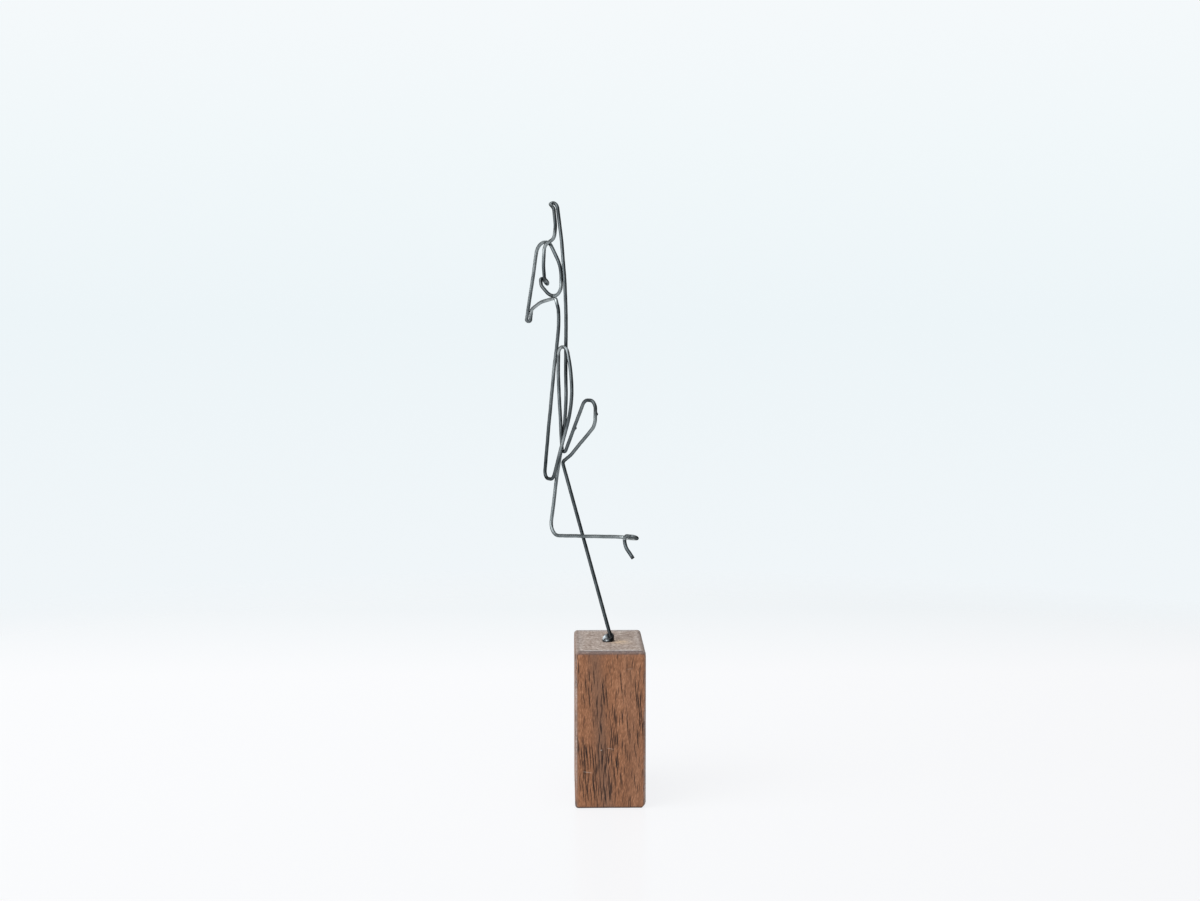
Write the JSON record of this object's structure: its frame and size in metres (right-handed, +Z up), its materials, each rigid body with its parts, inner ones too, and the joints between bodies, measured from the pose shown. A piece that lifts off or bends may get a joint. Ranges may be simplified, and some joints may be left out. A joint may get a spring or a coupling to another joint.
{
  "type": "wire sculpture",
  "caption": "One-line bird bent from dark steel wire, crested and large-beaked, standing on one leg in a block of oiled wood.",
  "frame": {"origin": "centre of the block's underside", "axes": "+Z up; +Y along the block's long side, towards the end that the beak points to; +X to the right seen along +Y"},
  "size_m": [0.0347, 0.048, 0.173],
  "materials": {
    "wood": "oiled reddish-brown hardwood, open pores, sanded edges, paler end grain",
    "wire": "dark annealed steel wire, satin, blue-grey sheen, small plier marks",
    "glue": "hardened clear drop, dark and glossy around the wire"
  },
  "bodies": {
    "root": {"wooden_block": "wood", "bird_wire": "wire", "glue_bead": "glue"}
  },
  "joints": []
}
